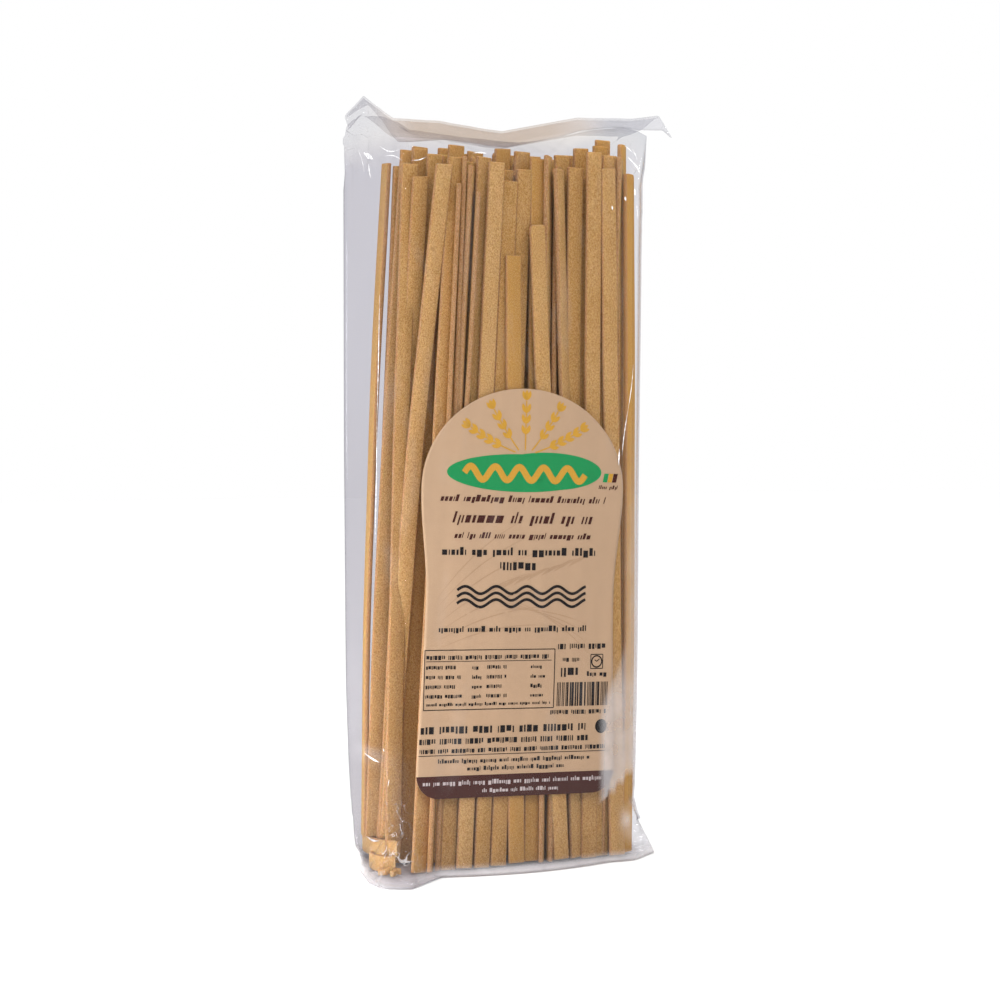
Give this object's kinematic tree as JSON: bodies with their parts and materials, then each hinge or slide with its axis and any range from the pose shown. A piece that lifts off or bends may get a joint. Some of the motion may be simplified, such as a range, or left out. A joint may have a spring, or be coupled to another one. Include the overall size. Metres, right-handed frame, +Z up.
{
  "type": "clear bag of long ribbon pasta",
  "caption": "Upright clear film bag filled with long flat dry pasta, with a folded top seal and an arch-topped paper label.",
  "frame": {"origin": "on the floor, under the middle of the filled bag's base", "axes": "+Z up along the pasta, -Y out of the labelled front, +X to the right of someone who faces the label"},
  "size_m": [0.128, 0.0772, 0.2695],
  "materials": {
    "clear_film": "clear glossy film, soft creases near the seals",
    "dry_pasta": "matte, rough and floury dry semolina pasta",
    "label_paper": "uncoated beige paper with flat printed colours"
  },
  "bodies": {
    "root": {"bag": "clear_film", "label": "label_paper"}
  },
  "joints": []
}
